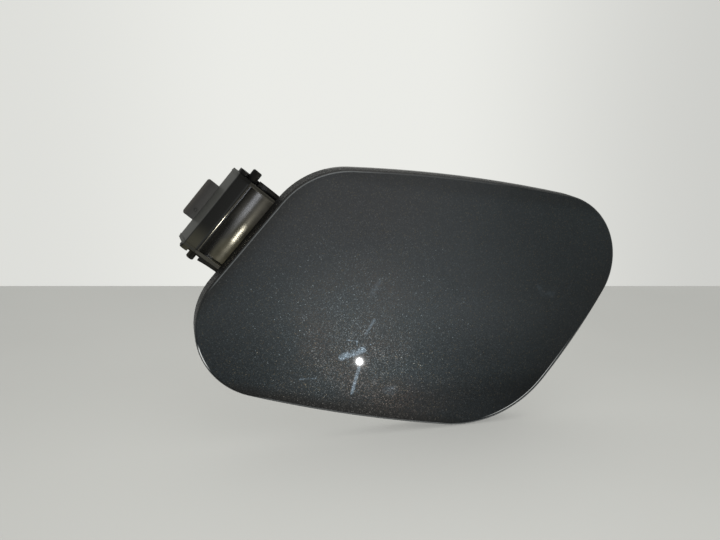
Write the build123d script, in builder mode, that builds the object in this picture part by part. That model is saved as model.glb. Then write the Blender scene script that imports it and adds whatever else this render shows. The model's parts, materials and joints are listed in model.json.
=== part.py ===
from build123d import *
import os
from math import cos, radians, sin, sqrt, tan

# Car fuel door on a gooseneck hinge arm, in millimetres.
# The origin is on the hinge axis, midway between the two pins.
# X runs along the door, +Y points into the car and +Z is up.

# Hinge line: its rake above the horizontal, and the two directions that follow from it
hinge_rake = 49.5
along_hinge = Vector(cos(radians(hinge_rake)), 0, sin(radians(hinge_rake)))
towards_door = Vector(sin(radians(hinge_rake)), 0, -cos(radians(hinge_rake)))
outward = Vector(0, -1, 0)
inward = Vector(0, 1, 0)

# Working planes: the arm's section, its plan, and the plan of the door
section_plane = Plane(origin=(0, 0, 0), x_dir=towards_door, z_dir=along_hinge)
plan_plane = Plane(origin=(0, 0, 0), x_dir=towards_door, z_dir=outward)
door_plane = Plane.XZ

# Door outline seen from outside: where the four bowed edges would meet, and how they are rounded
door_length = 269.8
door_height = 146.9
hinge_side_x = -43.4
free_side_z = -3.9
bottom_slant = 50.7
free_side_slant = 78.3
up_left = (41.6, 24.9)
low_right = (hinge_side_x + door_length - free_side_slant, up_left[1] - door_height)
low_left = (hinge_side_x, low_right[1] + bottom_slant)
up_right = (hinge_side_x + door_length, free_side_z)
bottom_bow = 6.3
right_bow = 6.9
top_bow = 6.0
left_bow = 0.2
low_left_round = 37.0
low_right_round = 60.5
up_right_round = 36.5
up_left_round = 44.0

# Door depths along Y, and the shell of the painted skin
face_y = -24.0
door_depth = 14.0
rim_y = face_y + door_depth
outline_y = -22.0
crown_radius = 2400.0
crown_x = 90.0
crown_z = -44.0
skin_thickness = 2.4
wall_thickness = 2.2
wall_draft = 2.2
edge_round = 1.2
rim_growth = (rim_y - outline_y) * tan(radians(wall_draft))
face_growth = (face_y - outline_y) * tan(radians(wall_draft))
crown_centre = (crown_x, face_y + crown_radius, crown_z)

# Inner panel, which lies flush with the rim
inner_thickness = 2.0
inner_clearance = 0.6
seat_y = rim_y - inner_thickness
rib_thickness = 1.6
rib_height = 3.0
rib_pitch = 26.0
rib_rows = 9
rib_field_inset = 18.0
rib_field_start = 72.0
pad_margin = 2.5

# Self-tapping screws, one size throughout, in bosses of the painted skin
screw_radius = 2.0
screw_head_radius = 4.0
screw_head_height = 2.4
screw_grip = 4.0
screw_head_bevel = 0.7
screw_clearance = 0.3
screw_hole_radius = screw_radius + screw_clearance
boss_wall = 2.0
thread_clearance = 0.05
tip_clearance = 0.4
boss_radius = screw_radius + boss_wall
boss_hole_radius = screw_radius + thread_clearance
boss_hole_depth = screw_grip + tip_clearance

# Hinge arm: sheet thickness, width over the side walls, head and gooseneck
arm_wall = 2.2
arm_half_width = 22.6
side_wall = 1.8
head_top_y = -7.0
head_back_y = 6.5
lip_s = -7.5
lip_slope = 3.1
lip_round = 1.0
neck_centre_s = 16.6
neck_floor = 0.5
neck_radius = 20.0
ridge_round = 3.0
foot_round = 3.2
foot_length = 30.0
foot_half_width = 31.0
flange_pin_gap = 1.0
flange_width = 3.0
flare_length = 8.0
flare_round = 9.0
foot_corner = 7.0
neck_rib_height = 3.4
wall_reach = 4.0
wall_dip = 1.8
wall_stand = 0.7
wall_round = 1.6
lip_foot_s = lip_s - lip_slope
neck_centre_y = neck_floor - neck_radius
ridge_y = head_top_y + ridge_round
foot_y = rim_y + foot_round
ridge_span = sqrt((neck_radius + ridge_round) ** 2 - (ridge_y - neck_centre_y) ** 2)
foot_span = sqrt((neck_radius + foot_round) ** 2 - (foot_y - neck_centre_y) ** 2)
neck_left = neck_centre_s - ridge_span
neck_right = neck_centre_s + foot_span
foot_end_s = neck_right + foot_length
flange_half_width = arm_half_width + flange_width
flare_end_s = neck_right
flare_start_s = flare_end_s - flare_length
wall_end_s = neck_centre_s + wall_reach
wall_end_y = head_top_y + wall_dip
neck_start = (
    neck_left + ridge_round * ridge_span / (neck_radius + ridge_round),
    ridge_y - ridge_round * (ridge_y - neck_centre_y) / (neck_radius + ridge_round),
)
neck_end = (
    neck_right - foot_round * foot_span / (neck_radius + foot_round),
    foot_y - foot_round * (foot_y - neck_centre_y) / (neck_radius + foot_round),
)
plan_top = arm_wall - rim_y
plan_depth = plan_top + neck_floor + 2 * arm_wall

# Hinge pins, with a collar at the root
upper_pin_radius = 2.6
lower_pin_radius = 2.1
upper_pin_length = 5.2
lower_pin_length = 4.2
collar_stand = 0.7
collar_length = 0.9
pin_chamfer = 0.5
collar_end = arm_half_width + collar_length
flange_start_s = upper_pin_radius + flange_pin_gap

# Tab on the lip and the plates beside the pins
tab_thickness = 2.4
tab_reach = 6.0
tab_root = 2.6
tab_length = 21.7
tab_shift = -0.7
tab_round = 1.2
plate_lip_gap = 0.3
plate_pin_gap = 0.9
plate_stand = 2.3
plate_round = 1.6
plate_front_y = -5.0
plate_back_y = 4.0
tab_y = head_back_y - tab_thickness
tab_reach_s = lip_foot_s - tab_reach
tab_root_s = lip_foot_s + tab_root
plate_start_s = lip_s - plate_lip_gap
plate_end_s = -upper_pin_radius - plate_pin_gap

# Ribs on the back of the arm
arm_rib_thickness = 1.8
arm_rib_places = (-9.0, 9.0)

# Screws in the arm's foot: a wide pair near the neck and a closer pair near the end
near_screw_inset = 7.6
near_screw_margin = 8.0
far_screw_inset = 8.0
far_screw_margin = 13.0
arm_screw_places = []
for side in (1, -1):
    near_place = (neck_right + near_screw_inset, side * (foot_half_width - near_screw_margin))
    far_place = (foot_end_s - far_screw_inset, side * (foot_half_width - far_screw_margin))
    arm_screw_places += [near_place, far_place]

# Latch striker at the free edge
striker_inset = 14.4
striker_base_length = 34.0
striker_base_width = 16.0
striker_base_thickness = arm_wall
striker_plate_length = 16.0
striker_plate_thickness = 2.6
striker_height = 20.0
striker_eye_length = 9.0
striker_eye_height = 7.0
striker_eye_up = 12.5
striker_screw_spread = 12.6
striker_gusset_thickness = 2.0
striker_gusset_height = 6.0
striker_gusset_spread = (striker_plate_length - striker_gusset_thickness) / 2
striker_base_round = 3.0
striker_pad_length = striker_base_length + 2 * pad_margin
striker_pad_width = striker_base_width + 2 * pad_margin

# Rubber bump stops at the free end, set in from the two corners there
bump_upper_inset = (38.0, 15.5)
bump_lower_inset = (10.0, 27.0)
bump_radius = 5.5
bump_height = 7.0
bump_stem_radius = 2.5
bump_clearance = 0.1
bump_hole_radius = bump_stem_radius + bump_clearance
bump_barb_radius = 3.6
bump_barb_height = 1.4
bump_crown = 1.5
bump_upper = (up_right[0] - bump_upper_inset[0], up_right[1] - bump_upper_inset[1])
bump_lower = (low_right[0] - bump_lower_inset[0], low_right[1] + bump_lower_inset[1])

# Screws that hold the inner panel to the skin: two set in from the top edge, two from the bottom
corner_screw_inset = (22.0, 16.5)
end_screw_inset = (28.0, 26.5)
edge_screw_inset = 17.5


def plan_to_door(place):
    """Turns a place in the arm's plan into x and z in the frame of the door."""
    point = plan_plane.from_local_coords((place[0], place[1], 0))
    return (point.X, point.Z)


def inside_edge(start, end, inset):
    """Place in the plan of the door, set in from the middle of the edge between two corners."""
    middle = (Vector(*start) + Vector(*end)) * 0.5
    across = (Vector(*end) - Vector(*start)).rotate(Axis.Z, 90).normalized()
    place = middle + across * inset
    return (place.X, place.Y)


def door_outline(growth):
    """Outline of the door in its own plan, grown outward all round by the given amount."""
    with BuildSketch() as outline:
        with BuildLine():
            SagittaArc(low_left, low_right, -bottom_bow)
            SagittaArc(low_right, up_right, -right_bow)
            SagittaArc(up_right, up_left, -top_bow)
            SagittaArc(up_left, low_left, -left_bow)
        make_face()
        corners = [
            (low_left, low_left_round),
            (low_right, low_right_round),
            (up_right, up_right_round),
            (up_left, up_left_round),
        ]
        for corner, corner_round in corners:
            fillet(outline.vertices().sort_by_distance(corner)[0], radius=corner_round)
    grown = offset(outline.sketch, amount=growth, mode=Mode.PRIVATE)
    # Each stretch of the grown outline is drawn again as a plain circular arc
    with BuildSketch() as redrawn:
        with BuildLine():
            for stretch in grown.face().outer_wire().order_edges():
                ThreePointArc(stretch @ 0, stretch @ 0.5, stretch @ 1)
        make_face()
    return redrawn.sketch


def make_screw(place, head_y):
    """Pan-head screw at x and z, its head resting at the given depth and its tip in the boss."""
    shank = head_y - seat_y + screw_grip
    with BuildPart() as screw:
        with BuildSketch(door_plane.offset(-head_y)):
            with Locations(place):
                Circle(screw_radius)
        extrude(amount=shank)
        with BuildSketch(door_plane.offset(-head_y)):
            with Locations(place):
                Circle(screw_head_radius)
        extrude(amount=-screw_head_height)
        top = screw.faces().sort_by(Axis.Y)[-1]
        chamfer(top.edges(), length=screw_head_bevel)
    return screw.part


arm_screw_points = [plan_to_door(place) for place in arm_screw_places]
striker_place = inside_edge(low_right, up_right, striker_inset)
striker_frame = Plane(
    origin=(striker_place[0], rim_y, striker_place[1]), x_dir=along_hinge, z_dir=inward
)
striker_screw_points = []
for side in (-1, 1):
    point = striker_frame.from_local_coords((side * striker_screw_spread, 0, 0))
    striker_screw_points.append((point.X, point.Z))
panel_screw_places = [
    (up_left[0] + corner_screw_inset[0], up_left[1] - corner_screw_inset[1]),
    inside_edge(up_right, up_left, edge_screw_inset),
    inside_edge(low_left, low_right, edge_screw_inset),
    (low_right[0] - end_screw_inset[0], low_right[1] + end_screw_inset[1]),
]
screw_points = arm_screw_points + striker_screw_points + panel_screw_places

os.makedirs("parts", exist_ok=True)

# Room inside the painted skin, open towards the car
with BuildPart() as skin_room:
    with BuildSketch(door_plane.offset(-rim_y)):
        add(door_outline(rim_growth - wall_thickness))
    with BuildSketch(door_plane.offset(-face_y)):
        add(door_outline(face_growth - wall_thickness))
    loft(ruled=True)
    with Locations(crown_centre):
        Sphere(crown_radius - skin_thickness, mode=Mode.INTERSECT)

# Screw bosses, which end inside the thickness of the skin
with BuildPart() as screw_bosses:
    with BuildSketch(door_plane.offset(-seat_y)):
        with Locations(*screw_points):
            Circle(boss_radius)
    extrude(amount=door_depth)
    with Locations(crown_centre):
        Sphere(crown_radius - skin_thickness / 2, mode=Mode.INTERSECT)

# Painted skin: a crowned shell with a drafted return wall that ends on a flat rim
with BuildPart() as outer_panel:
    with BuildSketch(door_plane.offset(-rim_y)):
        add(door_outline(rim_growth))
    with BuildSketch(door_plane.offset(-face_y)):
        add(door_outline(face_growth))
    loft(ruled=True)
    with Locations(crown_centre):
        Sphere(crown_radius, mode=Mode.INTERSECT)
    crown_face = outer_panel.faces().filter_by(GeomType.SPHERE)[0]
    fillet(crown_face.edges(), radius=edge_round)
    add(skin_room.part, mode=Mode.SUBTRACT)
    add(screw_bosses.part)
    with BuildSketch(door_plane.offset(-seat_y)):
        with Locations(*screw_points):
            Circle(boss_hole_radius)
    extrude(amount=boss_hole_depth, mode=Mode.SUBTRACT)
outer_panel.part.label = "outer_panel"
export_step(outer_panel.part, "parts/outer_panel.step")

# Inner panel: a moulded plate with a ribbed field between the arm's foot and the free end
with BuildPart() as inner_panel:
    with BuildSketch(door_plane.offset(-rim_y)):
        add(door_outline(rim_growth - wall_thickness - inner_clearance))
    extrude(amount=inner_thickness)
    with BuildSketch(door_plane.offset(-rim_y)) as ribs:
        add(door_outline(-rib_field_inset))
        add(door_outline(-rib_field_inset - rib_thickness), mode=Mode.SUBTRACT)
        with BuildSketch(mode=Mode.PRIVATE) as bars:
            with Locations(Location((crown_x, crown_z, 0), (0, 0, hinge_rake))):
                with GridLocations(rib_pitch, rib_pitch, rib_rows, rib_rows):
                    Rectangle(rib_pitch, rib_thickness)
                    Rectangle(rib_thickness, rib_pitch)
            add(door_outline(-rib_field_inset), mode=Mode.INTERSECT)
        add(bars.sketch)
        with Locations(Location((0, 0, 0), (0, 0, hinge_rake - 90))):
            Rectangle(2 * rib_field_start, 4 * rib_field_start, mode=Mode.SUBTRACT)
        with Locations(Location((*striker_place, 0), (0, 0, hinge_rake))):
            Rectangle(striker_pad_length, striker_pad_width, mode=Mode.SUBTRACT)
        with Locations(bump_upper, bump_lower):
            Circle(bump_radius + pad_margin, mode=Mode.SUBTRACT)
        with Locations(*panel_screw_places):
            Circle(screw_head_radius + pad_margin, mode=Mode.SUBTRACT)
    extrude(amount=-rib_height)
    with BuildSketch(door_plane.offset(-rim_y)):
        with Locations(*screw_points):
            Circle(screw_hole_radius)
        with Locations(bump_upper, bump_lower):
            Circle(bump_hole_radius)
    extrude(amount=inner_thickness, mode=Mode.SUBTRACT)
inner_panel.part.label = "inner_panel"
export_step(inner_panel.part, "parts/inner_panel.step")

# Hinge arm: one moulding, a sheet bent round the edge of the body between two side walls
with BuildPart() as hinge_arm:
    with BuildSketch(section_plane):
        with BuildLine() as sheet_line:
            FilletPolyline(
                (lip_foot_s, head_back_y), (lip_s, head_top_y), (neck_left, head_top_y), radius=lip_round
            )
            RadiusArc((neck_left, head_top_y), neck_start, -ridge_round)
            ThreePointArc(neck_start, (neck_centre_s, neck_floor), neck_end)
            RadiusArc(neck_end, (neck_right, rim_y), -foot_round)
            Line((neck_right, rim_y), (foot_end_s + arm_wall, rim_y))
            offset(amount=arm_wall, side=Side.LEFT)
        make_face()
    extrude(amount=foot_half_width + arm_wall, both=True)
    # Plan of the sheet: narrow at the head, flanged beside the neck and flared to the foot
    with BuildSketch(plan_plane.offset(plan_top)) as plan:
        with BuildLine() as half_plan:
            Polyline(
                (lip_foot_s - arm_wall, 0),
                (lip_foot_s - arm_wall, arm_half_width),
                (flange_start_s, arm_half_width),
                (flange_start_s, flange_half_width),
                (flare_start_s, flange_half_width),
            )
            RadiusArc(
                (flare_start_s, flange_half_width), (flare_end_s, foot_half_width), flare_round
            )
            Polyline(
                (flare_end_s, foot_half_width),
                (foot_end_s - foot_corner, foot_half_width),
                (foot_end_s, foot_half_width - foot_corner),
                (foot_end_s, 0),
            )
            mirror(about=Plane.XZ)
        make_face()
    extrude(amount=-plan_depth, mode=Mode.INTERSECT)
    # Tab on the lip
    with BuildSketch(plan_plane.offset(-tab_y)) as tab:
        with Locations(((tab_reach_s + tab_root_s) / 2, tab_shift)):
            RectangleRounded(tab_root_s - tab_reach_s, tab_length, tab_round)
    extrude(amount=-tab_thickness)
    # Ribs behind the sheet, from the head round the neck to the foot
    for place in arm_rib_places:
        with BuildSketch(section_plane.offset(place - arm_rib_thickness / 2)):
            with BuildLine():
                Polyline(
                    (foot_end_s - foot_corner, rim_y + arm_wall),
                    (neck_right, rim_y + arm_wall / 2),
                    (lip_s + arm_wall / 2, head_top_y + arm_wall / 2),
                    (lip_foot_s + arm_wall / 2, head_back_y),
                    (neck_centre_s, neck_floor + arm_wall + neck_rib_height),
                    close=True,
                )
            make_face()
            with Locations((neck_centre_s, neck_centre_y)):
                Circle(neck_radius + arm_wall / 2, mode=Mode.SUBTRACT)
        extrude(amount=arm_rib_thickness)
    # Side walls, with a rim that stands a little proud of the sheet
    for wall_start in (-arm_half_width, arm_half_width - side_wall):
        with BuildSketch(section_plane.offset(wall_start)):
            with BuildLine():
                FilletPolyline(
                    (lip_foot_s, head_back_y),
                    (lip_s - wall_stand / 2, head_top_y - wall_stand),
                    (neck_left, head_top_y - wall_stand),
                    (wall_end_s, wall_end_y),
                    (wall_end_s + side_wall, neck_floor + arm_wall / 2),
                    radius=wall_round,
                )
                Polyline(
                    (wall_end_s + side_wall, neck_floor + arm_wall / 2),
                    (neck_centre_s, neck_floor + arm_wall),
                    (flange_start_s, head_back_y),
                    (lip_foot_s, head_back_y),
                )
            make_face()
        extrude(amount=side_wall)
    # Hinge pins with their collars, turned about the hinge axis
    pins = [(1, upper_pin_radius, upper_pin_length), (-1, lower_pin_radius, lower_pin_length)]
    for side, pin_radius, pin_length in pins:
        pin_end = collar_end + pin_length
        with BuildSketch(Plane(origin=(0, 0, 0), x_dir=along_hinge * side, z_dir=towards_door)):
            with BuildLine():
                Polyline(
                    (arm_half_width - side_wall, 0),
                    (arm_half_width - side_wall, pin_radius + collar_stand),
                    (collar_end, pin_radius + collar_stand),
                    (collar_end, pin_radius),
                    (pin_end - pin_chamfer, pin_radius),
                    (pin_end, pin_radius - pin_chamfer),
                    (pin_end, 0),
                    close=True,
                )
            make_face()
        revolve(axis=Axis((0, 0, 0), along_hinge))
        # Plate outside the side wall, between the lip and the pin
        with BuildSketch(section_plane.offset(side * (arm_half_width - side_wall))):
            with Locations(((plate_start_s + plate_end_s) / 2, (plate_front_y + plate_back_y) / 2)):
                RectangleRounded(
                    plate_end_s - plate_start_s, plate_back_y - plate_front_y, plate_round
                )
        extrude(amount=side * (side_wall + plate_stand))
    # Screw holes in the foot
    with BuildSketch(plan_plane.offset(-rim_y)):
        with Locations(*arm_screw_places):
            Circle(screw_hole_radius)
    extrude(amount=-arm_wall, mode=Mode.SUBTRACT)
hinge_arm.part.label = "hinge_arm"
export_step(hinge_arm.part, "parts/hinge_arm.step")

# Screws: each group in one node, as separate solids
foot_back_y = rim_y + arm_wall
screw_groups = [
    ("arm_screws", arm_screw_points, foot_back_y),
    ("striker_screws", striker_screw_points, foot_back_y),
    ("inner_panel_screws", panel_screw_places, rim_y),
]
for group_name, places, head_y in screw_groups:
    screws = Compound(label=group_name, children=[make_screw(place, head_y) for place in places])
    export_step(screws, "parts/" + group_name + ".step")

# Latch striker: a base with an upright eye for the bolt of the lock
with BuildPart() as latch_striker:
    with BuildSketch(striker_frame):
        RectangleRounded(striker_base_length, striker_base_width, striker_base_round)
    extrude(amount=striker_base_thickness)
    with BuildSketch(Plane(origin=striker_frame.origin, x_dir=along_hinge, z_dir=towards_door)) as eye:
        with Locations((0, -striker_height / 2)):
            Rectangle(striker_plate_length, striker_height)
        with Locations((0, -striker_eye_up)):
            SlotOverall(striker_eye_length, striker_eye_height, mode=Mode.SUBTRACT)
    extrude(amount=striker_plate_thickness / 2, both=True)
    with BuildSketch(striker_frame.offset(striker_base_thickness)):
        with Locations((-striker_gusset_spread, 0), (striker_gusset_spread, 0)):
            Rectangle(striker_gusset_thickness, striker_base_width)
    extrude(amount=striker_gusset_height)
    with BuildSketch(striker_frame):
        with Locations((-striker_screw_spread, 0), (striker_screw_spread, 0)):
            Circle(screw_hole_radius)
    extrude(amount=striker_base_thickness, mode=Mode.SUBTRACT)
latch_striker.part.label = "latch_striker"
export_step(latch_striker.part, "parts/latch_striker.step")

# Bump stops: rubber buttons turned about their stem, which snaps through the inner panel
for bump_name, place in (("bump_stop_upper", bump_upper), ("bump_stop_lower", bump_lower)):
    bump_frame = Plane(origin=(place[0], rim_y, place[1]), x_dir=(1, 0, 0), z_dir=(0, 0, 1))
    with BuildPart() as bump_stop:
        with BuildSketch(bump_frame):
            with BuildLine():
                Polyline(
                    (0, bump_height),
                    (bump_radius - bump_crown, bump_height),
                    (bump_radius, bump_height - bump_crown),
                    (bump_radius, 0),
                    (bump_stem_radius, 0),
                    (bump_stem_radius, -inner_thickness),
                    (bump_barb_radius, -inner_thickness),
                    (bump_stem_radius, -inner_thickness - bump_barb_height),
                    (0, -inner_thickness - bump_barb_height),
                    close=True,
                )
            make_face()
        revolve(axis=Axis(bump_frame.origin, inward))
    bump_stop.part.label = bump_name
    export_step(bump_stop.part, "parts/" + bump_name + ".step")
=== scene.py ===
import json
from math import cos, radians, sin, tan

import bpy
from mathutils import Matrix, Vector

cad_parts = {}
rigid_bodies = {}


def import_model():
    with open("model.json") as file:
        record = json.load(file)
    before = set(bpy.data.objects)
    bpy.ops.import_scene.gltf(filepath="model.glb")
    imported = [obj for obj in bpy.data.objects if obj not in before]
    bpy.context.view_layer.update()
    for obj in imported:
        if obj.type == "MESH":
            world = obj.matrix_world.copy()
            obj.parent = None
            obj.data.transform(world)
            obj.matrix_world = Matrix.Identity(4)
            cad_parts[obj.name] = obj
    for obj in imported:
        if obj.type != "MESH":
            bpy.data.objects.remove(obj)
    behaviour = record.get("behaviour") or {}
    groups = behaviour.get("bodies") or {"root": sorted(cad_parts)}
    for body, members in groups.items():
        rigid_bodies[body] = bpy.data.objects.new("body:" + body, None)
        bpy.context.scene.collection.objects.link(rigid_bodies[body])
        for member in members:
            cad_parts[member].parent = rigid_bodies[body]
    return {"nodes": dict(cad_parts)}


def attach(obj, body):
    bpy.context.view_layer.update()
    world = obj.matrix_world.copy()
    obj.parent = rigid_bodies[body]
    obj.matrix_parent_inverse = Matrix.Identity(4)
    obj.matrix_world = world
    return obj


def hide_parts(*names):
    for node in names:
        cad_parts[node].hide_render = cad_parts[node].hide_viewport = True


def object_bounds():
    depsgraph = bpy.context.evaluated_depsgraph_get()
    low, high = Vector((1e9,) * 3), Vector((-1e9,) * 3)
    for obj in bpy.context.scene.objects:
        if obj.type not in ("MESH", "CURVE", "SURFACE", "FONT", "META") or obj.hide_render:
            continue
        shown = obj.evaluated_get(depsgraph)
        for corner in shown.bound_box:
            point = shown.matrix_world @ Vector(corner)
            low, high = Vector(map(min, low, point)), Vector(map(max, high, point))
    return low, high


# Car fuel door on a gooseneck hinge arm, standing on a pale table with its painted face towards the viewer.
# X runs along the door, Y into the car and Z up, and the origin lies midway between the two hinge pins.
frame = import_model()
solid_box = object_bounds()
nodes = frame["nodes"]

# Painted skin: a crowned moulded shell, sprayed dark grey with metal flake and sealed under clear lacquer.
# It has been handled, so the lacquer shows wipe marks and pale scuffs, and its colour carries painted
# highlights, a painted glow and painted shade.
# Places on it are given in millimetres.
MM = 0.001


class Wire:
    """An output socket in a finish: sums and products of wires add the Math nodes that they need."""

    def __init__(self, tree, socket=None):
        self.tree = tree
        self.socket = socket

    def node(self, kind, settings=None, inputs=None, output=0):
        """Adds a node, sets its settings first and then its inputs, and gives one of its outputs."""
        node = self.tree.nodes.new(kind)
        for name, value in (settings or {}).items():
            setattr(node, name, value)
        for name, value in (inputs or {}).items():
            self.feed(node.inputs[name], value)
        return Wire(self.tree, node.outputs[output])

    def feed(self, socket, value):
        """Links a wire to a socket, or sets a plain value on it."""
        if isinstance(value, Wire):
            self.tree.links.new(value.socket, socket)
        else:
            socket.default_value = value

    def math(self, operation, first, second=0.0, clamp=False):
        settings = {"operation": operation, "use_clamp": clamp}
        return self.node("ShaderNodeMath", settings, {0: first, 1: second})

    def __add__(self, other):
        return self.math("ADD", self, other)

    def __sub__(self, other):
        return self.math("SUBTRACT", self, other)

    def __rsub__(self, other):
        return self.math("SUBTRACT", other, self)

    def __mul__(self, other):
        return self.math("MULTIPLY", self, other)

    def __truediv__(self, other):
        return self.math("DIVIDE", self, other)

    def __pow__(self, other):
        return self.math("POWER", self, other)

    __radd__ = __add__
    __rmul__ = __mul__

    def clamped(self):
        """The wire, held between nothing and one."""
        return self.math("ADD", self, 0.0, clamp=True)

    def larger(self, other):
        """The larger of two wires."""
        return self.math("MAXIMUM", self, other)

    def vector(self, operation, other=(0.0, 0.0, 0.0)):
        """A colour or a direction, worked on by Vector Math."""
        return self.node("ShaderNodeVectorMath", {"operation": operation}, {0: self, 1: other})

    def scaled(self, factor):
        """A colour or a direction times a number."""
        return self.node("ShaderNodeVectorMath", {"operation": "SCALE"}, {0: self, "Scale": factor})

    def split(self):
        """The three parts of a vector."""
        parts = []
        for index in range(3):
            parts.append(self.node("ShaderNodeSeparateXYZ", None, {0: self}, index))
        return parts

    def noise(self, scale, detail=2.0, roughness=0.5):
        """Cloudy variation about a half, with this many features to one unit of the wire's length."""
        inputs = {"Vector": self, "Scale": scale, "Detail": detail, "Roughness": roughness}
        return self.node("ShaderNodeTexNoise", None, inputs)

    def ramp(self, low, high, start=0.0, end=1.0):
        """Goes smoothly from start to end as the wire goes from low to high."""
        inputs = {0: self, 1: low, 2: high, 3: start, 4: end}
        return self.node("ShaderNodeMapRange", {"interpolation_type": "SMOOTHSTEP"}, inputs)

    def band(self, rise, fall):
        """Mask that rises from nothing over the first stretch and falls back over the second."""
        return self.ramp(*rise) * self.ramp(fall[1], fall[0])

    def blend(self, first, second):
        """Mixes two colours, with the wire as the share of the second."""
        colours = []
        for colour in (first, second):
            colours.append(colour if isinstance(colour, Wire) else (*colour, 1.0))
        inputs = {0: self, 6: colours[0], 7: colours[1]}
        return self.node("ShaderNodeMix", {"data_type": "RGBA"}, inputs, 2)


def new_finish(name):
    """An empty finish: its material, its surface shader, and the wire for a place on the door in metres."""
    material = bpy.data.materials.new(name)
    material.use_nodes = True
    surface = material.node_tree.nodes["Principled BSDF"]
    place = Wire(material.node_tree).node("ShaderNodeTexCoord", output="Object")
    return material, surface, place


def in_millimetres(place):
    """The three parts of a place on the door, in millimetres."""
    return [part / MM for part in place.split()]


def dress(piece, material):
    """Gives a piece its finish, in place of the one that it came with."""
    piece.data.materials.clear()
    piece.data.materials.append(material)


def rub_mark(x, z, start, end, half_width):
    """Mask of a short stroke across the face, strongest on its line and fading to its sides."""
    run_x = end[0] - start[0]
    run_z = end[1] - start[1]
    from_x = x - start[0]
    from_z = z - start[1]
    along = ((from_x * run_x + from_z * run_z) / (run_x**2 + run_z**2)).clamped()
    off_x = from_x - along * run_x
    off_z = from_z - along * run_z
    off = (off_x * off_x + off_z * off_z) / half_width**2
    return (1 - off).clamped() ** mark_softness


paint, paint_surface, place = new_finish("flake_paint")
x, y, z = in_millimetres(place)
smooth = place.node("ShaderNodeNewGeometry", output="Normal")
facing_x, facing_y, facing_z = smooth.split()
cloud = place.noise(16.0, 3.0)

# Wipe marks: where each stroke starts and ends along X and Z, its half width and its strength
paint_scuff = (0.26, 0.35, 0.43)
mark_softness = 1.6
wipe_marks = [
    ((56.7, -72.3), (67.8, -69.3), 2.4, 0.56),
    ((65.7, -79.1), (62.0, -92.8), 1.3, 0.46),
    ((73.8, -53.3), (69.4, -60.6), 1.1, 0.24),
    ((76.6, -33.2), (71.9, -39.8), 2.2, 0.085),
    ((59.3, -63.2), (64.6, -64.1), 0.5, 0.32),
    ((64.6, -64.1), (64.6, -66.3), 0.5, 0.32),
    ((34.7, -82.9), (43.0, -83.1), 0.7, 0.21),
    ((81.0, -92.8), (84.8, -93.2), 3.2, 0.13),
    ((71.8, -66.5), (72.1, -66.6), 0.6, 0.40),
    ((164.8, -40.6), (168.6, -45.0), 1.8, 0.07),
    ((168.6, -45.0), (174.6, -46.0), 2.6, 0.07),
]
scuffs = 0.0
for start, end, half_width, strength in wipe_marks:
    scuffs = rub_mark(x, z, start, end, half_width) * strength + scuffs
ragged = place.noise(380.0, 3.0, 0.6).ramp(0.36, 0.60, 0.22, 1.0)
grainy = place.noise(900.0, 3.0, 0.7).ramp(0.12, 0.66)
scuffs = (scuffs * ragged * grainy).clamped()

# Return wall: dull on the hinge side and partly along the top, and darkened by painted shade on the hinge
# side and close behind the face
left_shade = 0.72
top_dullness = 0.62
top_shade = 0.65
on_wall = facing_y.ramp(-0.60, -0.15)
left_wall = on_wall * facing_x.ramp(0.05, -0.35) * facing_z.ramp(-0.75, -0.35)
dull_wall = left_wall.larger(on_wall * facing_z.ramp(0.60, 0.90) * top_dullness)
shaded_wall = facing_y.ramp(-0.85, -0.50) * facing_z.ramp(0.25, 0.60) * y.ramp(-12.5, -16.5)

# Edge of the face: a thin painted highlight line that is left out here and there, and a painted glint at the
# lower left corner
paint_edge_highlight = (0.36, 0.37, 0.37)
paint_glint = (0.88, 0.89, 0.88)
edge_highlight_share = 0.55
thin_edge = facing_y.band((-0.998, -0.988), (-0.93, -0.86))
glint_edge = thin_edge * x.ramp(2.0, -6.0) * z.band((-76.0, -70.0), (-64.0, -60.0))
plain_right = x.ramp(110.0, 150.0) * z.ramp(-75.0, -50.0)
plain_left = x.ramp(22.0, 10.0) * z.ramp(-27.0, -36.0)
plain_top = x.ramp(50.0, 85.0, 0.0, 0.75) * z.ramp(-10.0, 5.0)
plain_edge = plain_right.larger(plain_left).larger(plain_top)

# Painted highlight hairline along the lower right edge: each arc's centre and radius, and where along X it
# comes and goes
paint_hairline_highlight = (0.62, 0.63, 0.62)
hairline_arcs = [
    ((125.02, -57.22), 60.5, (134.0, 150.0), (169.0, 171.0)),
    ((-113.04, 136.14), 367.2, (169.0, 171.0), (171.0, 190.0)),
]
painted_hairline = 0.0
for (centre_x, centre_z), arc_radius, comes, goes in hairline_arcs:
    arc_x = x - centre_x
    arc_z = z - centre_z
    inset = arc_radius - place.math("SQRT", arc_x * arc_x + arc_z * arc_z)
    painted_hairline = inset.band((1.55, 1.80), (1.90, 2.15)) * x.band(comes, goes) + painted_hairline
painted_hairline = painted_hairline * facing_y.ramp(-0.98, -0.99) * z.ramp(-60.0, -75.0)

# Darkening along the edges, which is painted shade: each side's outward direction, distance from the hinge,
# width and shade
edge_sides = [
    ((-0.749, 0.662), -8.7, 18.0, 0.66),
    ((0.834, -0.553), 196.5, 30.0, 0.86),
    ((0.154, 0.988), 32.0, 7.0, 0.86),
    ((-0.256, -0.967), 85.0, 11.0, 0.74),
]
edge_fade = 1.0
for (outward_x, outward_z), reach, fade_width, darkest in edge_sides:
    inside = reach - (x * outward_x + z * outward_z)
    edge_fade = inside.ramp(0.0, fade_width, darkest, 1.0) * edge_fade

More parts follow.
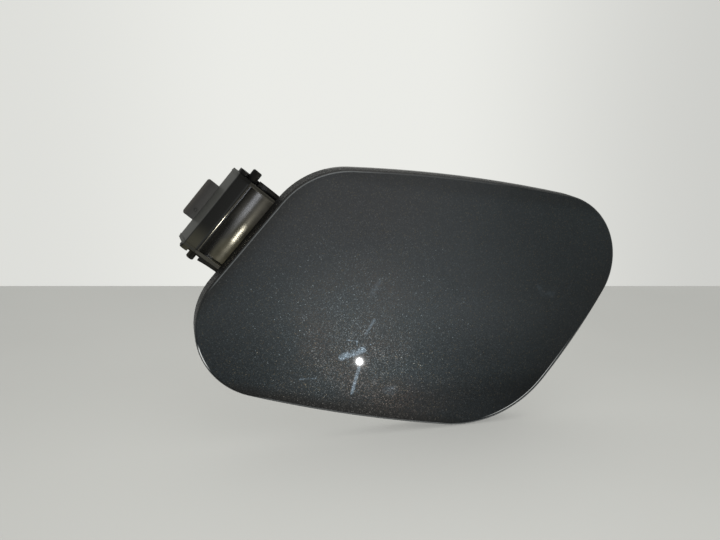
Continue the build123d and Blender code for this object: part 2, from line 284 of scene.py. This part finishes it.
# Flakes: each cell is one flake with its own tilt, shade and polish, and some of the lightest are gold
flake_size = 0.37 * MM
flake_tilt = 0.24
shade_shuffle = 17.3
cells = place.node("ShaderNodeTexVoronoi", None, {"Vector": place, "Scale": 1 / flake_size}, "Color")
flake_red, flake_green, flake_blue = cells.split()
flake_shade = place.math("FRACT", flake_red * shade_shuffle)
glint = flake_green.ramp(0.60, 0.92)
speck = flake_shade.ramp(0.86, 0.95)
golden = speck * flake_blue.ramp(0.4, 0.6)
tilt = cells.vector("SUBTRACT", (0.5, 0.5, 0.5)).scaled(flake_shade * flake_tilt)
place.feed(paint_surface.inputs["Normal"], smooth.vector("ADD", tilt).vector("NORMALIZE"))

# Colour: plum near the top, a painted warm glow low in the middle, painted brown shade along the edges, and
# varied by the flakes
paint_dark = (0.0222, 0.0276, 0.0296)
paint_plum = (0.0234, 0.0238, 0.0242)
paint_warm_glow = (0.0490, 0.0362, 0.0285)
paint_gold = (0.036, 0.031, 0.021)
paint_shade_brown = (0.0225, 0.0215, 0.0190)
glow_middle = (68.0, -80.0)
glow_reach = 64.807
flake_low = 0.76
flake_range = 0.44
speck_light = 0.50
near_top = z.ramp(-45.0, 10.0) * x.ramp(155.0, 75.0) * cloud.ramp(0.30, 0.60, 0.6, 1.0)
tint = near_top.blend(paint_dark, paint_plum)
# Painted warm glow around the bright spot of the face lamp
glow_x = x - glow_middle[0]
glow_z = z - glow_middle[1]
painted_glow = (1 - (glow_x * glow_x + glow_z * glow_z) / glow_reach**2).clamped()
painted_glow = painted_glow * cloud.ramp(0.38, 0.62) * flake_blue.ramp(0.2, 0.8)
tint = painted_glow.blend(tint, paint_warm_glow)
tint = golden.blend(tint, paint_gold)
# Painted shade along the edges: browner here, and darker in the brightness below
tint = edge_fade.ramp(0.95, 0.70).blend(tint, paint_shade_brown)
brightness = edge_fade * (flake_low + flake_shade * flake_range + speck * speck_light)
brightness = brightness * cloud.ramp(0.25, 0.75, 0.90, 1.10)
# Painted shading: darker towards the right and low down, lighter towards the top
brightness = brightness * x.ramp(90.0, 215.0, 1.0, 0.92)
brightness = brightness * z.ramp(-101.0, -83.0, 0.52, 1.0) * z.ramp(-30.0, 20.0, 1.0, 1.10)
# Painted shade on the return wall, on the hinge side and close behind the face
brightness = brightness * (1 - left_wall * left_shade) * (1 - shaded_wall * top_shade)
flaked = tint.scaled(brightness)
# Painted highlight line along the edge of the face
flaked = (thin_edge * (1 - plain_edge) * edge_highlight_share).blend(flaked, paint_edge_highlight)
# Painted highlight hairline along the lower right edge
flaked = painted_hairline.blend(flaked, paint_hairline_highlight)
# Painted glint at the lower left corner
flaked = glint_edge.blend(flaked, paint_glint)
place.feed(paint_surface.inputs["Base Color"], scuffs.blend(flaked, paint_scuff))

# Gloss: the flakes are metal except under the scuffs and the painted highlight lines, and the lacquer over
# them is thin where the paint is dull, and thinner towards the edges and on the return wall
paint_metal = 0.85
paint_roughness = 0.46
cloud_roughness = 0.08
glint_polish = 0.18
wall_roughness = 0.15
dull_loss = 0.12
wall_loss = 0.95
shade_loss = 0.5
scuffs_and_highlights = scuffs + glint_edge + painted_hairline
place.feed(paint_surface.inputs["Metallic"], ((1 - scuffs_and_highlights) * paint_metal).clamped())
roughness = paint_roughness + cloud * cloud_roughness - glint * glint_polish + on_wall * wall_roughness
place.feed(paint_surface.inputs["Roughness"], roughness)
dull = place.noise(60.0, 4.0).ramp(0.55, 0.75)
lacquer = edge_fade - dull * dull_loss - dull_wall * wall_loss - shaded_wall * shade_loss
place.feed(paint_surface.inputs["Coat Weight"], lacquer.clamped())
paint_surface.inputs["Coat Roughness"].default_value = 0.02
paint_surface.inputs["Coat IOR"].default_value = 1.5
dress(nodes["outer_panel"], paint)


# Inner panel: a plate moulded in black plastic, which closes the skin from behind and is screwed to it.
# Its tool was spark-eroded, so the face has a fine grain, and ribs stiffen the free end.
def pick_edges(piece, wanted):
    """Leaves the piece in edit mode with just those edges selected whose two ends pass the test."""
    bpy.ops.object.mode_set(mode="EDIT")
    bpy.ops.mesh.select_mode(type="EDGE")
    bpy.ops.mesh.select_all(action="DESELECT")
    bpy.ops.object.mode_set(mode="OBJECT")
    for edge in piece.data.edges:
        first, second = (piece.data.vertices[index].co for index in edge.vertices)
        edge.select = wanted(first, second)
    bpy.ops.object.mode_set(mode="EDIT")


def ease_edges(piece, width, sharp_angle, keeps_flats=False):
    """Takes the sharpness off a piece's edges, as they leave the mould."""
    easing = piece.modifiers.new("eased_edges", "BEVEL")
    easing.width = width
    easing.segments = 2
    easing.limit_method = "ANGLE"
    easing.angle_limit = sharp_angle
    easing.harden_normals = keeps_flats
    bpy.ops.object.modifier_apply(modifier=easing.name)


def eased_copy(node_name, piece_name, edge_width, rounded_edges=(), trimmed_corners=()):
    """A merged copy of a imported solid, with some corners trimmed, some edges rounded and the rest eased."""
    bpy.ops.object.select_all(action="DESELECT")
    solid = nodes[node_name]
    solid.select_set(True)
    bpy.context.view_layer.objects.active = solid
    bpy.ops.object.duplicate()
    piece = bpy.context.object
    piece.name = piece_name
    piece.data.name = piece_name
    bpy.ops.object.parent_clear(type="CLEAR_KEEP_TRANSFORM")
    bpy.ops.object.mode_set(mode="EDIT")
    bpy.ops.mesh.select_all(action="SELECT")
    bpy.ops.mesh.customdata_custom_splitnormals_clear()
    bpy.ops.mesh.remove_doubles(threshold=merge_distance)
    bpy.ops.mesh.dissolve_limited(angle_limit=flat_angle)
    bpy.ops.object.mode_set(mode="OBJECT")
    for trim_place, trim_facing in trimmed_corners:
        bpy.ops.object.mode_set(mode="EDIT")
        bpy.ops.mesh.select_all(action="SELECT")
        bpy.ops.mesh.bisect(plane_co=trim_place, plane_no=trim_facing, use_fill=True, clear_outer=True)
        bpy.ops.object.mode_set(mode="OBJECT")
    for rounding, is_rounded in rounded_edges:
        pick_edges(piece, is_rounded)
        bpy.ops.mesh.bevel(offset=rounding, segments=3, affect="EDGES", clamp_overlap=True)
        bpy.ops.object.mode_set(mode="OBJECT")
    bpy.ops.object.shade_smooth_by_angle(angle=smooth_angle)
    ease_edges(piece, edge_width, moulded_angle, keeps_flats=True)
    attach(piece, "root")
    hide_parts(node_name)
    return piece


merge_distance = 0.002 * MM
flat_angle = radians(0.4)
smooth_angle = radians(30)
moulded_angle = radians(32)
inner_colour = (0.016, 0.016, 0.017)
inner_worn = (0.026, 0.026, 0.026)
inner_roughness = 0.46
plastic_mottle = 0.16
inner_edge = 0.22 * MM
grain_height = 0.04 * MM
inner_plastic, inner_surface, place = new_finish("grained_plastic")
rubbed = place.noise(45.0, 4.0).ramp(0.4, 0.75)
place.feed(inner_surface.inputs["Base Color"], rubbed.blend(inner_colour, inner_worn))
mottle = place.noise(120.0, 3.0) * plastic_mottle
place.feed(inner_surface.inputs["Roughness"], inner_roughness + mottle)
grain = place.noise(2600.0, 2.0)
bump = place.node("ShaderNodeBump", None, {"Height": grain, "Distance": grain_height, "Strength": 0.6})
place.feed(inner_surface.inputs["Normal"], bump)
inner_panel = eased_copy("inner_panel", "eased_inner_panel", inner_edge)
dress(inner_panel, inner_plastic)

# Hinge arm: one moulding in glossy black plastic, screwed to the inner panel by its foot.
# The neck is polished with painted sheen and glow, the flat head is olive low down, the lip's tab is matt.
# Places on the arm are in millimetres towards the door, up along the hinge and into the car.
hinge_rake = radians(49.5)
across = Vector((sin(hinge_rake), 0.0, -cos(hinge_rake)))
up_hinge = Vector((cos(hinge_rake), 0.0, sin(hinge_rake)))
inward = Vector((0.0, 1.0, 0.0))
lip_start = -7.3
tab_start = -10.0
tab_front = 3.8
ridge_line = 1.5
neck_shade = 13.5
wall_inside = 20.8
wall_outside = 22.6


def on_arm(towards, along, depth):
    """A place on the arm, in metres."""
    return (across * towards + up_hinge * along + inward * depth) * MM


# Zones of the arm, as masks
arm_plastic, arm_surface, place = new_finish("glossy_moulding")
x, y, z = in_millimetres(place)
_, facing_y, _ = place.node("ShaderNodeNewGeometry", output="Normal").split()
towards_door = x * sin(hinge_rake) - z * cos(hinge_rake)
along_hinge = x * cos(hinge_rake) + z * sin(hinge_rake)
from_middle = place.math("ABSOLUTE", along_hinge)
on_tab = towards_door.ramp(tab_start, tab_start - 0.2) * y.ramp(tab_front, tab_front + 0.2)
beside = from_middle.ramp(wall_inside, wall_inside + 0.2)
outside = from_middle.ramp(wall_outside, wall_outside + 0.3)
on_lip = towards_door.ramp(lip_start, lip_start - 0.4) * (1 - on_tab) * (1 - outside)
on_flat = towards_door.band((lip_start, lip_start + 0.4), (-1.6, -0.6))
on_ridge = towards_door.band((-0.8, -0.1), (1.6, 2.6))
on_rim = from_middle.band((wall_inside + 0.3, wall_inside + 0.6), (wall_outside - 0.5, wall_outside - 0.2))
on_rim = on_rim * y.ramp(-4.2, -4.8)
in_neck = towards_door.ramp(ridge_line, ridge_line + 5.0) * from_middle.ramp(wall_inside, wall_inside - 0.4)
in_neck = in_neck * facing_y.ramp(0.10, -0.20)
in_streak = in_neck * towards_door.ramp(8.8, 10.6)
near_door = towards_door.ramp(neck_shade, neck_shade + 7.0)

# Colour: painted sheen and glow in the neck, olive low on the flat, painted light on rims and lip, and a grey
# tab painted lighter at its root
arm_black = (0.0095, 0.0094, 0.0088)
neck_glow_olive = (0.068, 0.064, 0.045)
neck_sheen_grey = (0.060, 0.058, 0.054)
tab_grey = (0.088, 0.083, 0.080)
tab_root_light = (0.138, 0.134, 0.128)
flat_olive = (0.046, 0.044, 0.033)
rim_highlight_grey = (0.038, 0.038, 0.035)
lip_reflection_grey = (0.076, 0.077, 0.071)
# Painted sheen in the upper neck
painted_sheen = in_neck * along_hinge.ramp(-3.0, 9.0) * place.noise(160.0, 3.0).ramp(0.25, 0.65, 0.55, 1.0)
# Painted olive glow in the lower neck, around the warm streak
neck_glow = in_neck * along_hinge.ramp(14.0, -15.0) * towards_door.ramp(5.0, 8.5)
neck_glow = neck_glow * place.noise(120.0, 3.0).ramp(0.15, 0.55)
# Olive towards the lower end of the flat
olive_flat = on_flat * along_hinge.ramp(-7.0, -19.0)
# Painted highlight on the rims, fading up the hinge
rim_highlight = along_hinge.ramp(-12.0, 12.0).blend(rim_highlight_grey, arm_black)
# Grey tab, painted lighter towards its root
tab_tint = towards_door.ramp(tab_start - 5.0, tab_start).blend(tab_grey, tab_root_light)
arm_tint = painted_sheen.blend(arm_black, neck_sheen_grey)
arm_tint = neck_glow.blend(arm_tint, neck_glow_olive)
arm_tint = olive_flat.blend(arm_tint, flat_olive)
arm_tint = on_rim.blend(arm_tint, rim_highlight)
# Painted reflection on the lip: a lighter grey
arm_tint = on_lip.blend(arm_tint, lip_reflection_grey)
place.feed(arm_surface.inputs["Base Color"], on_tab.blend(arm_tint, tab_tint))

# Gloss: what each zone adds to the roughness and takes from the shine, which is broken along ridge and neck
arm_roughness = 0.22
haze_roughness = 0.10
rough_zones = [(on_rim, 0.16), (on_tab, 0.34), (on_lip, 0.28), (outside, 0.30)]
dull_zones = [
    (near_door, 0.9),
    (outside, 0.8),
    (on_tab, 1.0),
    (on_rim, 0.8),
    (on_lip, 0.85),
    (on_flat, 0.72),
    (beside, 0.7),
]
roughness = arm_roughness + place.noise(140.0, 4.0) * haze_roughness
for zone, gain in rough_zones:
    roughness = roughness + zone * gain
place.feed(arm_surface.inputs["Roughness"], roughness)
gloss = facing_y.ramp(0.35, -0.10, 0.15, 1.0)
for zone, loss in dull_zones:
    gloss = gloss * (1 - zone * loss)
ridge_gloss = along_hinge.ramp(-15.0, -1.5, 0.12, 0.80) * along_hinge.ramp(4.0, 0.0, 0.10, 1.0)
streak_gloss = along_hinge.ramp(-10.0, -5.5, 0.12, 0.95) * along_hinge.ramp(4.5, -0.5, 0.08, 1.0)
gloss = gloss * (1 - on_ridge * (1 - ridge_gloss)) * (1 - in_streak * (1 - streak_gloss))
place.feed(arm_surface.inputs["Coat Weight"], gloss)
arm_surface.inputs["Coat Roughness"].default_value = 0.11
arm_surface.inputs["Coat IOR"].default_value = 1.42
arm_surface.inputs["Specular IOR Level"].default_value = 0.08

# Flow lines: the plastic ran across the hinge, so the ripples are drawn out that way
flow_stretch = 0.08
flow_height = 0.02 * MM
flow_place = {0: towards_door * flow_stretch, 1: along_hinge, 2: y * flow_stretch}
flow = place.node("ShaderNodeCombineXYZ", None, flow_place).noise(1.5, 3.0)
bump = place.node("ShaderNodeBump", None, {"Height": flow, "Distance": flow_height, "Strength": 0.35})
place.feed(arm_surface.inputs["Normal"], bump)

# Edges: the rims of the side walls are rounded, and the corners at the ends of the lip are trimmed
arm_edge = 0.28 * MM
rim_rounding = 0.5 * MM
rim_height = -7.7
rim_fall = 2.5 / 21.0
rim_bend = -0.4
rim_from = -6.2
rim_to = 18.0
side_slack = 0.05
height_slack = 0.15
lip_foot = -10.6
head_back = 6.5
trim_depth = 1.45 * MM


def on_rim_edge(point):
    """Whether a point lies on one of the long edges of the side walls' rims."""
    along_wall = point.dot(across) / MM
    off_middle = abs(point.dot(up_hinge)) / MM
    level = rim_height + max(0.0, along_wall - rim_bend) * rim_fall
    off_side = min(abs(off_middle - wall_inside), abs(off_middle - wall_outside))
    off_level = abs(point.y / MM - level)
    return rim_from < along_wall < rim_to and off_side < side_slack and off_level < height_slack


def is_rim_edge(first, second):
    """Whether an edge runs along a rim."""
    return on_rim_edge(first) and on_rim_edge(second)


lip_trims = []
for side in (1.0, -1.0):
    trim_facing = on_arm(-0.55, side * 0.55, 0.63).normalized()
    lip_corner = on_arm(lip_foot, side * wall_outside, head_back)
    lip_trims.append((lip_corner - trim_facing * trim_depth, trim_facing))
arm_rounding = [(rim_rounding, is_rim_edge)]
arm = eased_copy("hinge_arm", "eased_arm", arm_edge, arm_rounding, lip_trims)
dress(arm, arm_plastic)


# Gate mark: the small raised ring on the arm's tab where the plastic ran into the mould.
# It is part of the moulding, left standing when the runner was cut off, and hollow in its middle.
def pick_faces(piece, wanted):
    """Leaves the piece in edit mode with just those faces selected that pass the test."""
    bpy.ops.object.mode_set(mode="EDIT")
    bpy.ops.mesh.select_mode(type="FACE")
    bpy.ops.mesh.select_all(action="DESELECT")
    bpy.ops.object.mode_set(mode="OBJECT")
    for face in piece.data.polygons:
        face.select = wanted(face)
    bpy.ops.object.mode_set(mode="EDIT")


def faces_outward(face):
    """Whether a face looks out of the car, along -Y."""
    return face.normal.y < -0.9


gate_place = on_arm(-12.2, -6.5, 4.1)
gate_radius = 0.95 * MM
gate_height = 0.24 * MM
gate_ring = 0.32 * MM
gate_slope = 0.15 * MM
gate_hollow = 0.9 * gate_height
gate_edge = 0.06 * MM
corner_angle = radians(40)
facing_out = (radians(90), 0.0, 0.0)
bpy.ops.object.select_all(action="DESELECT")
bpy.ops.mesh.primitive_cylinder_add(
    vertices=28,
    radius=gate_radius,
    depth=2 * gate_height,
    location=gate_place,
    rotation=facing_out,
)
gate = bpy.context.object
gate.name = "gate_mark"
gate.data.name = "gate_mark"
bpy.ops.object.transform_apply(location=True, rotation=True, scale=True)
pick_faces(gate, faces_outward)
bpy.ops.mesh.inset(thickness=gate_ring, depth=0.0)
bpy.ops.mesh.inset(thickness=gate_slope, depth=-gate_hollow)
bpy.ops.object.mode_set(mode="OBJECT")
bpy.ops.object.shade_smooth_by_angle(angle=smooth_angle)
ease_edges(gate, gate_edge, corner_angle)
dress(gate, arm_plastic)
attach(gate, "root")


# Pin webs: a short ledge of the moulding behind each pin, which ties plate, pin and flange together.
# Its outer end is rounded on all four edges, so that it clears the seat of the pin.
def add_block(middle, turn, sizes):
    """A block at its size and place, turned about Y."""
    bpy.ops.object.select_all(action="DESELECT")
    bpy.ops.mesh.primitive_cube_add(size=1.0, location=middle, rotation=(0.0, turn, 0.0))
    block = bpy.context.object
    block.scale = sizes
    bpy.ops.object.transform_apply(location=True, rotation=True, scale=True)
    return block


web_from = -7.2
web_to = 6.4
web_front = 1.4
web_back = 4.4
web_sink = 0.4
web_root = wall_outside - web_sink
web_reach = 25.0
end_slack = 0.01
web_rounding = 1.3 * MM
web_edge = 0.3 * MM


def at_web_end(point):
    """Whether a point lies on the outer end of a web."""
    return abs(abs(point.dot(up_hinge)) / MM - web_reach) < end_slack


def is_end_edge(first, second):
    """Whether an edge is one of the four round the outer end of a web."""
    return at_web_end(first) and at_web_end(second)


for web_name, side in (("upper_pin_web", 1.0), ("lower_pin_web", -1.0)):
    web_along = side * (web_root + web_reach) / 2
    web_middle = on_arm((web_from + web_to) / 2, web_along, (web_front + web_back) / 2)
    web_sizes = Vector((web_to - web_from, web_back - web_front, web_reach - web_root)) * MM
    web = add_block(web_middle, radians(90) - hinge_rake, web_sizes)
    web.name = web_name
    web.data.name = web_name
    pick_edges(web, is_end_edge)
    bpy.ops.mesh.bevel(offset=web_rounding, segments=5, affect="EDGES")
    bpy.ops.object.mode_set(mode="OBJECT")
    bpy.ops.object.shade_smooth_by_angle(angle=smooth_angle)
    ease_edges(web, web_edge, corner_angle)
    dress(web, arm_plastic)
    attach(web, "root")


# Screws: zinc-plated steel with pan heads and cross recesses, self-tapping into the bosses of the skin.
# The plating has dulled a little and carries faint turning marks.
def head_middles(screws):
    """The middle of each head's crown, in a group of screws that all face into the car."""
    crown = max(vertex.co.y for vertex in screws.data.vertices)
    heads = []
    for vertex in screws.data.vertices:
        if crown - vertex.co.y < crown_slack:
            near = [head for head in heads if (head[0] - vertex.co).length < head_across]
            if near:
                near[0].append(vertex.co.copy())
            else:
                heads.append([vertex.co.copy()])
    return [sum(head, Vector()) / len(head) for head in heads]


screw_zinc = (0.46, 0.46, 0.45)
screw_dull = (0.30, 0.29, 0.27)
screw_roughness = 0.28
turning_marks = 0.2
zinc, zinc_surface, place = new_finish("zinc_plate")
tarnish = place.noise(900.0, 4.0).ramp(0.4, 0.7)
place.feed(zinc_surface.inputs["Base Color"], tarnish.blend(screw_zinc, screw_dull))
turned = place.noise(1500.0, 3.0) * turning_marks
place.feed(zinc_surface.inputs["Roughness"], screw_roughness + turned)
zinc_surface.inputs["Metallic"].default_value = 1.0
screw_edge = 0.12 * MM
crown_slack = 0.02 * MM
head_across = 8.0 * MM
recess_reach = 4.6 * MM
recess_width = 1.15 * MM
recess_depth = 1.5 * MM
recess_taper = 0.35
recess_sizes = (recess_reach, 2 * recess_depth, recess_width)
for group in ("arm_screws", "striker_screws", "inner_panel_screws"):
    screws = eased_copy(group, "recessed_" + group, screw_edge)
    bars = []
    for middle in head_middles(screws):
        for turn in (45, 135):
            bar = add_block(middle, radians(turn), recess_sizes)
            pick_faces(bar, faces_outward)
            bpy.ops.transform.resize(value=(recess_taper, 1.0, recess_taper), center_override=middle)
            bpy.ops.object.mode_set(mode="OBJECT")
            bars.append(bar)
    bpy.ops.object.select_all(action="DESELECT")
    for bar in bars:
        bar.select_set(True)
    bpy.context.view_layer.objects.active = bars[0]
    bpy.ops.object.join()
    cross = bpy.context.object
    recess = screws.modifiers.new("cross_recess", "BOOLEAN")
    recess.operation = "DIFFERENCE"
    recess.object = cross
    recess.solver = "EXACT"
    recess.use_self = True
    bpy.ops.object.select_all(action="DESELECT")
    screws.select_set(True)
    bpy.context.view_layer.objects.active = screws
    bpy.ops.object.modifier_apply(modifier=recess.name)
    bpy.ops.object.shade_smooth_by_angle(angle=smooth_angle)
    bpy.data.objects.remove(cross, do_unlink=True)
    dress(screws, zinc)

# Latch striker: a black moulding with an upright eye that the bolt of the lock goes through.
# Two screws hold it to the free end of the inner panel, and it is as black as the panel but smoother.
striker_roughness = 0.36
striker_edge = 0.2 * MM
striker_plastic, striker_surface, place = new_finish("striker_plastic")
rubbed = place.noise(300.0, 4.0).ramp(0.4, 0.7)
place.feed(striker_surface.inputs["Base Color"], rubbed.blend(inner_colour, inner_worn))
mottle = place.noise(400.0, 3.0) * plastic_mottle
place.feed(striker_surface.inputs["Roughness"], striker_roughness + mottle)
striker = eased_copy("latch_striker", "eased_striker", striker_edge)
dress(striker, striker_plastic)

# Bump stops: soft black rubber buttons that cushion the free end when the door is shut.
# Each snaps into a hole of the inner panel, and the rubber has a faint grey bloom.
rubber_black = (0.014, 0.014, 0.014)
rubber_bloom = (0.034, 0.034, 0.035)
rubber_roughness = 0.7
rubber_mottle = 0.2
rubber, rubber_surface, place = new_finish("bump_rubber")
bloom = place.noise(500.0, 4.0).ramp(0.4, 0.8)
place.feed(rubber_surface.inputs["Base Color"], bloom.blend(rubber_black, rubber_bloom))
mottle = place.noise(700.0, 2.0) * rubber_mottle
place.feed(rubber_surface.inputs["Roughness"], rubber_roughness + mottle)
for stop_name in ("bump_stop_upper", "bump_stop_lower"):
    dress(nodes[stop_name], rubber)

# Camera: looks a little down on the door from the left, and is level from side to side.
# It is set from where the middle of the hinge line falls in a picture of 720 by 540.
picture_width = 720
picture_height = 540
hinge_column = 222.9
hinge_row = 215.6
camera_distance = 0.36665
camera_azimuth = radians(-12.65)
camera_elevation = radians(13.3)
camera_lens = 36.0
sensor_width = 36.0
backward_x = sin(camera_azimuth) * cos(camera_elevation)
backward_y = -cos(camera_azimuth) * cos(camera_elevation)
backward = Vector((backward_x, backward_y, sin(camera_elevation)))
rightward = Vector((cos(camera_azimuth), sin(camera_azimuth), 0.0))
upward = backward.cross(rightward)
metres_per_pixel = camera_distance * sensor_width / camera_lens / picture_width
camera_place = (
    backward * camera_distance
    + rightward * (picture_width / 2 - hinge_column) * metres_per_pixel
    + upward * (hinge_row - picture_height / 2) * metres_per_pixel
)
camera_data = bpy.data.cameras.new("camera")
camera_data.lens = camera_lens
camera_data.sensor_width = sensor_width
camera = bpy.data.objects.new("camera", camera_data)
camera.location = camera_place
camera.rotation_euler = (radians(90) - camera_elevation, 0.0, camera_azimuth)
bpy.context.scene.collection.objects.link(camera)
bpy.context.scene.camera = camera

# Table: a pale smooth sheet that the door stands on.
# Its far edge lies level in the picture, at the row given here.
edge_row = 286
floor_reach = 2.5
floor_width = 5.0
floor_pale = (0.37, 0.37, 0.353)
floor_shade = (0.355, 0.355, 0.338)
floor_height = solid_box[0].z
edge_drop = camera_elevation + (edge_row - picture_height / 2) / picture_width
edge_distance = (camera_place.z - floor_height) / tan(edge_drop)
away = Vector((-backward.x, -backward.y, 0.0)).normalized()
under_camera = Vector((camera_place.x, camera_place.y, floor_height))
floor_middle = under_camera + away * (edge_distance - floor_reach / 2)
bpy.ops.object.select_all(action="DESELECT")
bpy.ops.mesh.primitive_plane_add(size=1.0, location=floor_middle, rotation=(0.0, 0.0, camera_azimuth))
table = bpy.context.object
table.name = "table"
table.scale = (floor_width, floor_reach, 1.0)
bpy.ops.object.transform_apply(location=True, rotation=True, scale=True)
table_finish, table_surface, place = new_finish("table_finish")
uneven = place.noise(3.0, 3.0).ramp(0.35, 0.65)
place.feed(table_surface.inputs["Base Color"], uneven.blend(floor_pale, floor_shade))
table_surface.inputs["Roughness"].default_value = 0.7
table_surface.inputs["Specular IOR Level"].default_value = 0.2
dress(table, table_finish)
table.visible_glossy = False

# Studio light: a pale surround, brightest overhead and behind the door.
# In front of the face it is dimmer, and dimmer still to the right, to the left and low down.
surround_back = (0.83, 0.835, 0.80)
surround_front = (0.62, 0.655, 0.675)
surround_right = (0.32, 0.342, 0.342)
surround_left = (0.40, 0.425, 0.435)
surround_low = (0.12, 0.128, 0.130)
surround_top = (1.05, 1.05, 1.03)
world = bpy.data.worlds.new("studio")
world.use_nodes = True
bpy.context.scene.world = world
background = world.node_tree.nodes["Background"]
direction = Wire(world.node_tree).node("ShaderNodeTexCoord", output="Generated")
sky_x, sky_y, sky_z = direction.split()
in_front = sky_x.ramp(0.34, 0.56).blend(surround_front, surround_right)
in_front = sky_x.ramp(0.14, -0.06).blend(in_front, surround_left)
in_front = sky_z.ramp(-0.27, -0.40).blend(in_front, surround_low)
around = sky_y.ramp(-0.75, 0.45).blend(in_front, surround_back)
surround = sky_z.ramp(0.35, 0.9).blend(around, surround_top)
seen = direction.node("ShaderNodeLightPath", output="Is Camera Ray")
surround = seen.blend(surround, surround_back)
to_sides = sky_x.ramp(0.30, 0.66, 1.0, 0.74) * sky_x.ramp(-0.25, 0.10, 0.88, 1.0)
direction.feed(background.inputs["Color"], surround.scaled(to_sides))
background.inputs["Strength"].default_value = 1.0


# Lamps: a small one that the face mirrors as a bright spot, strips that the curved neck of the arm
# mirrors as a warm streak and a cool one, and two that even out the table.
def lamp_set(set_name, pieces):
    """The pieces that a lamp lights, so that the others keep their even tone."""
    lit = bpy.data.collections.new(set_name)
    for piece in pieces:
        lit.objects.link(piece)
    return lit


def hang_lamp(lamp_name, kind, power, colour, aim, offset, sizes, lit):
    """A lamp that hangs at an offset from the point it looks at, and lights only the pieces of one set."""
    lamp_data = bpy.data.lights.new(lamp_name, kind)
    lamp_data.energy = power
    lamp_data.color = colour
    if kind == "AREA":
        lamp_data.shape = "RECTANGLE"
        lamp_data.size, lamp_data.size_y = sizes
    elif kind == "POINT":
        lamp_data.shadow_soft_size = sizes[0]
    lamp = bpy.data.objects.new(lamp_name, lamp_data)
    behind = offset.normalized()
    side = (across - behind * across.dot(behind)).normalized()
    lamp.matrix_world = Matrix((side, side.cross(behind), behind)).transposed().to_4x4()
    lamp.location = aim + offset
    lamp.visible_camera = False
    lamp.light_linking.receiver_collection = lit
    lamp.light_linking.blocker_collection = lit
    bpy.context.scene.collection.objects.link(lamp)


white = (1.0, 1.0, 1.0)
warm = (1.0, 0.94, 0.74)
cool = (0.90, 0.93, 1.0)
spot_distance = 0.40
streak_distance = 0.42
cool_distance = 0.30
spot_place = Vector((65.6, -23.7, -75.1)) * MM
spot_offset = Vector((0.1870, -0.9077, -0.3757)) * spot_distance
streak_place = on_arm(12.2, -3.5, 0.0)
streak_offset = on_arm(0.5612, -0.1054, -0.8210).normalized() * streak_distance
cool_place = on_arm(7.5, 16.0, -1.7)
cool_offset = on_arm(0.8849, -0.0542, -0.4628).normalized() * cool_distance
table_middle = Vector((0.09, -0.02, floor_height))
table_near = Vector((0.05, -0.16, floor_height))
sun_offset = Vector((0.0, 0.0, 1.0))
near_offset = Vector((0.0, 0.0, 0.34))
lit_face = lamp_set("lit_face", [nodes["outer_panel"]])
lit_arm = lamp_set("lit_arm", [arm])
lit_table = lamp_set("lit_table", [table])
hang_lamp("face_lamp", "POINT", 2.1, white, spot_place, spot_offset, (2.3 * MM,), lit_face)
hang_lamp("streak_lamp", "AREA", 0.34, warm, streak_place, streak_offset, (0.11, 0.014), lit_arm)
hang_lamp("core_lamp", "AREA", 0.30, warm, streak_place, streak_offset, (0.05, 0.008), lit_arm)
hang_lamp("cool_lamp", "AREA", 0.26, cool, cool_place, cool_offset, (0.09, 0.03), lit_arm)
hang_lamp("table_sun", "SUN", 1.15, white, table_middle, sun_offset, (), lit_table)
hang_lamp("table_lamp", "AREA", 0.75, white, table_near, near_offset, (0.2, 0.2), lit_table)
bpy.context.scene.view_settings.view_transform = "Standard"
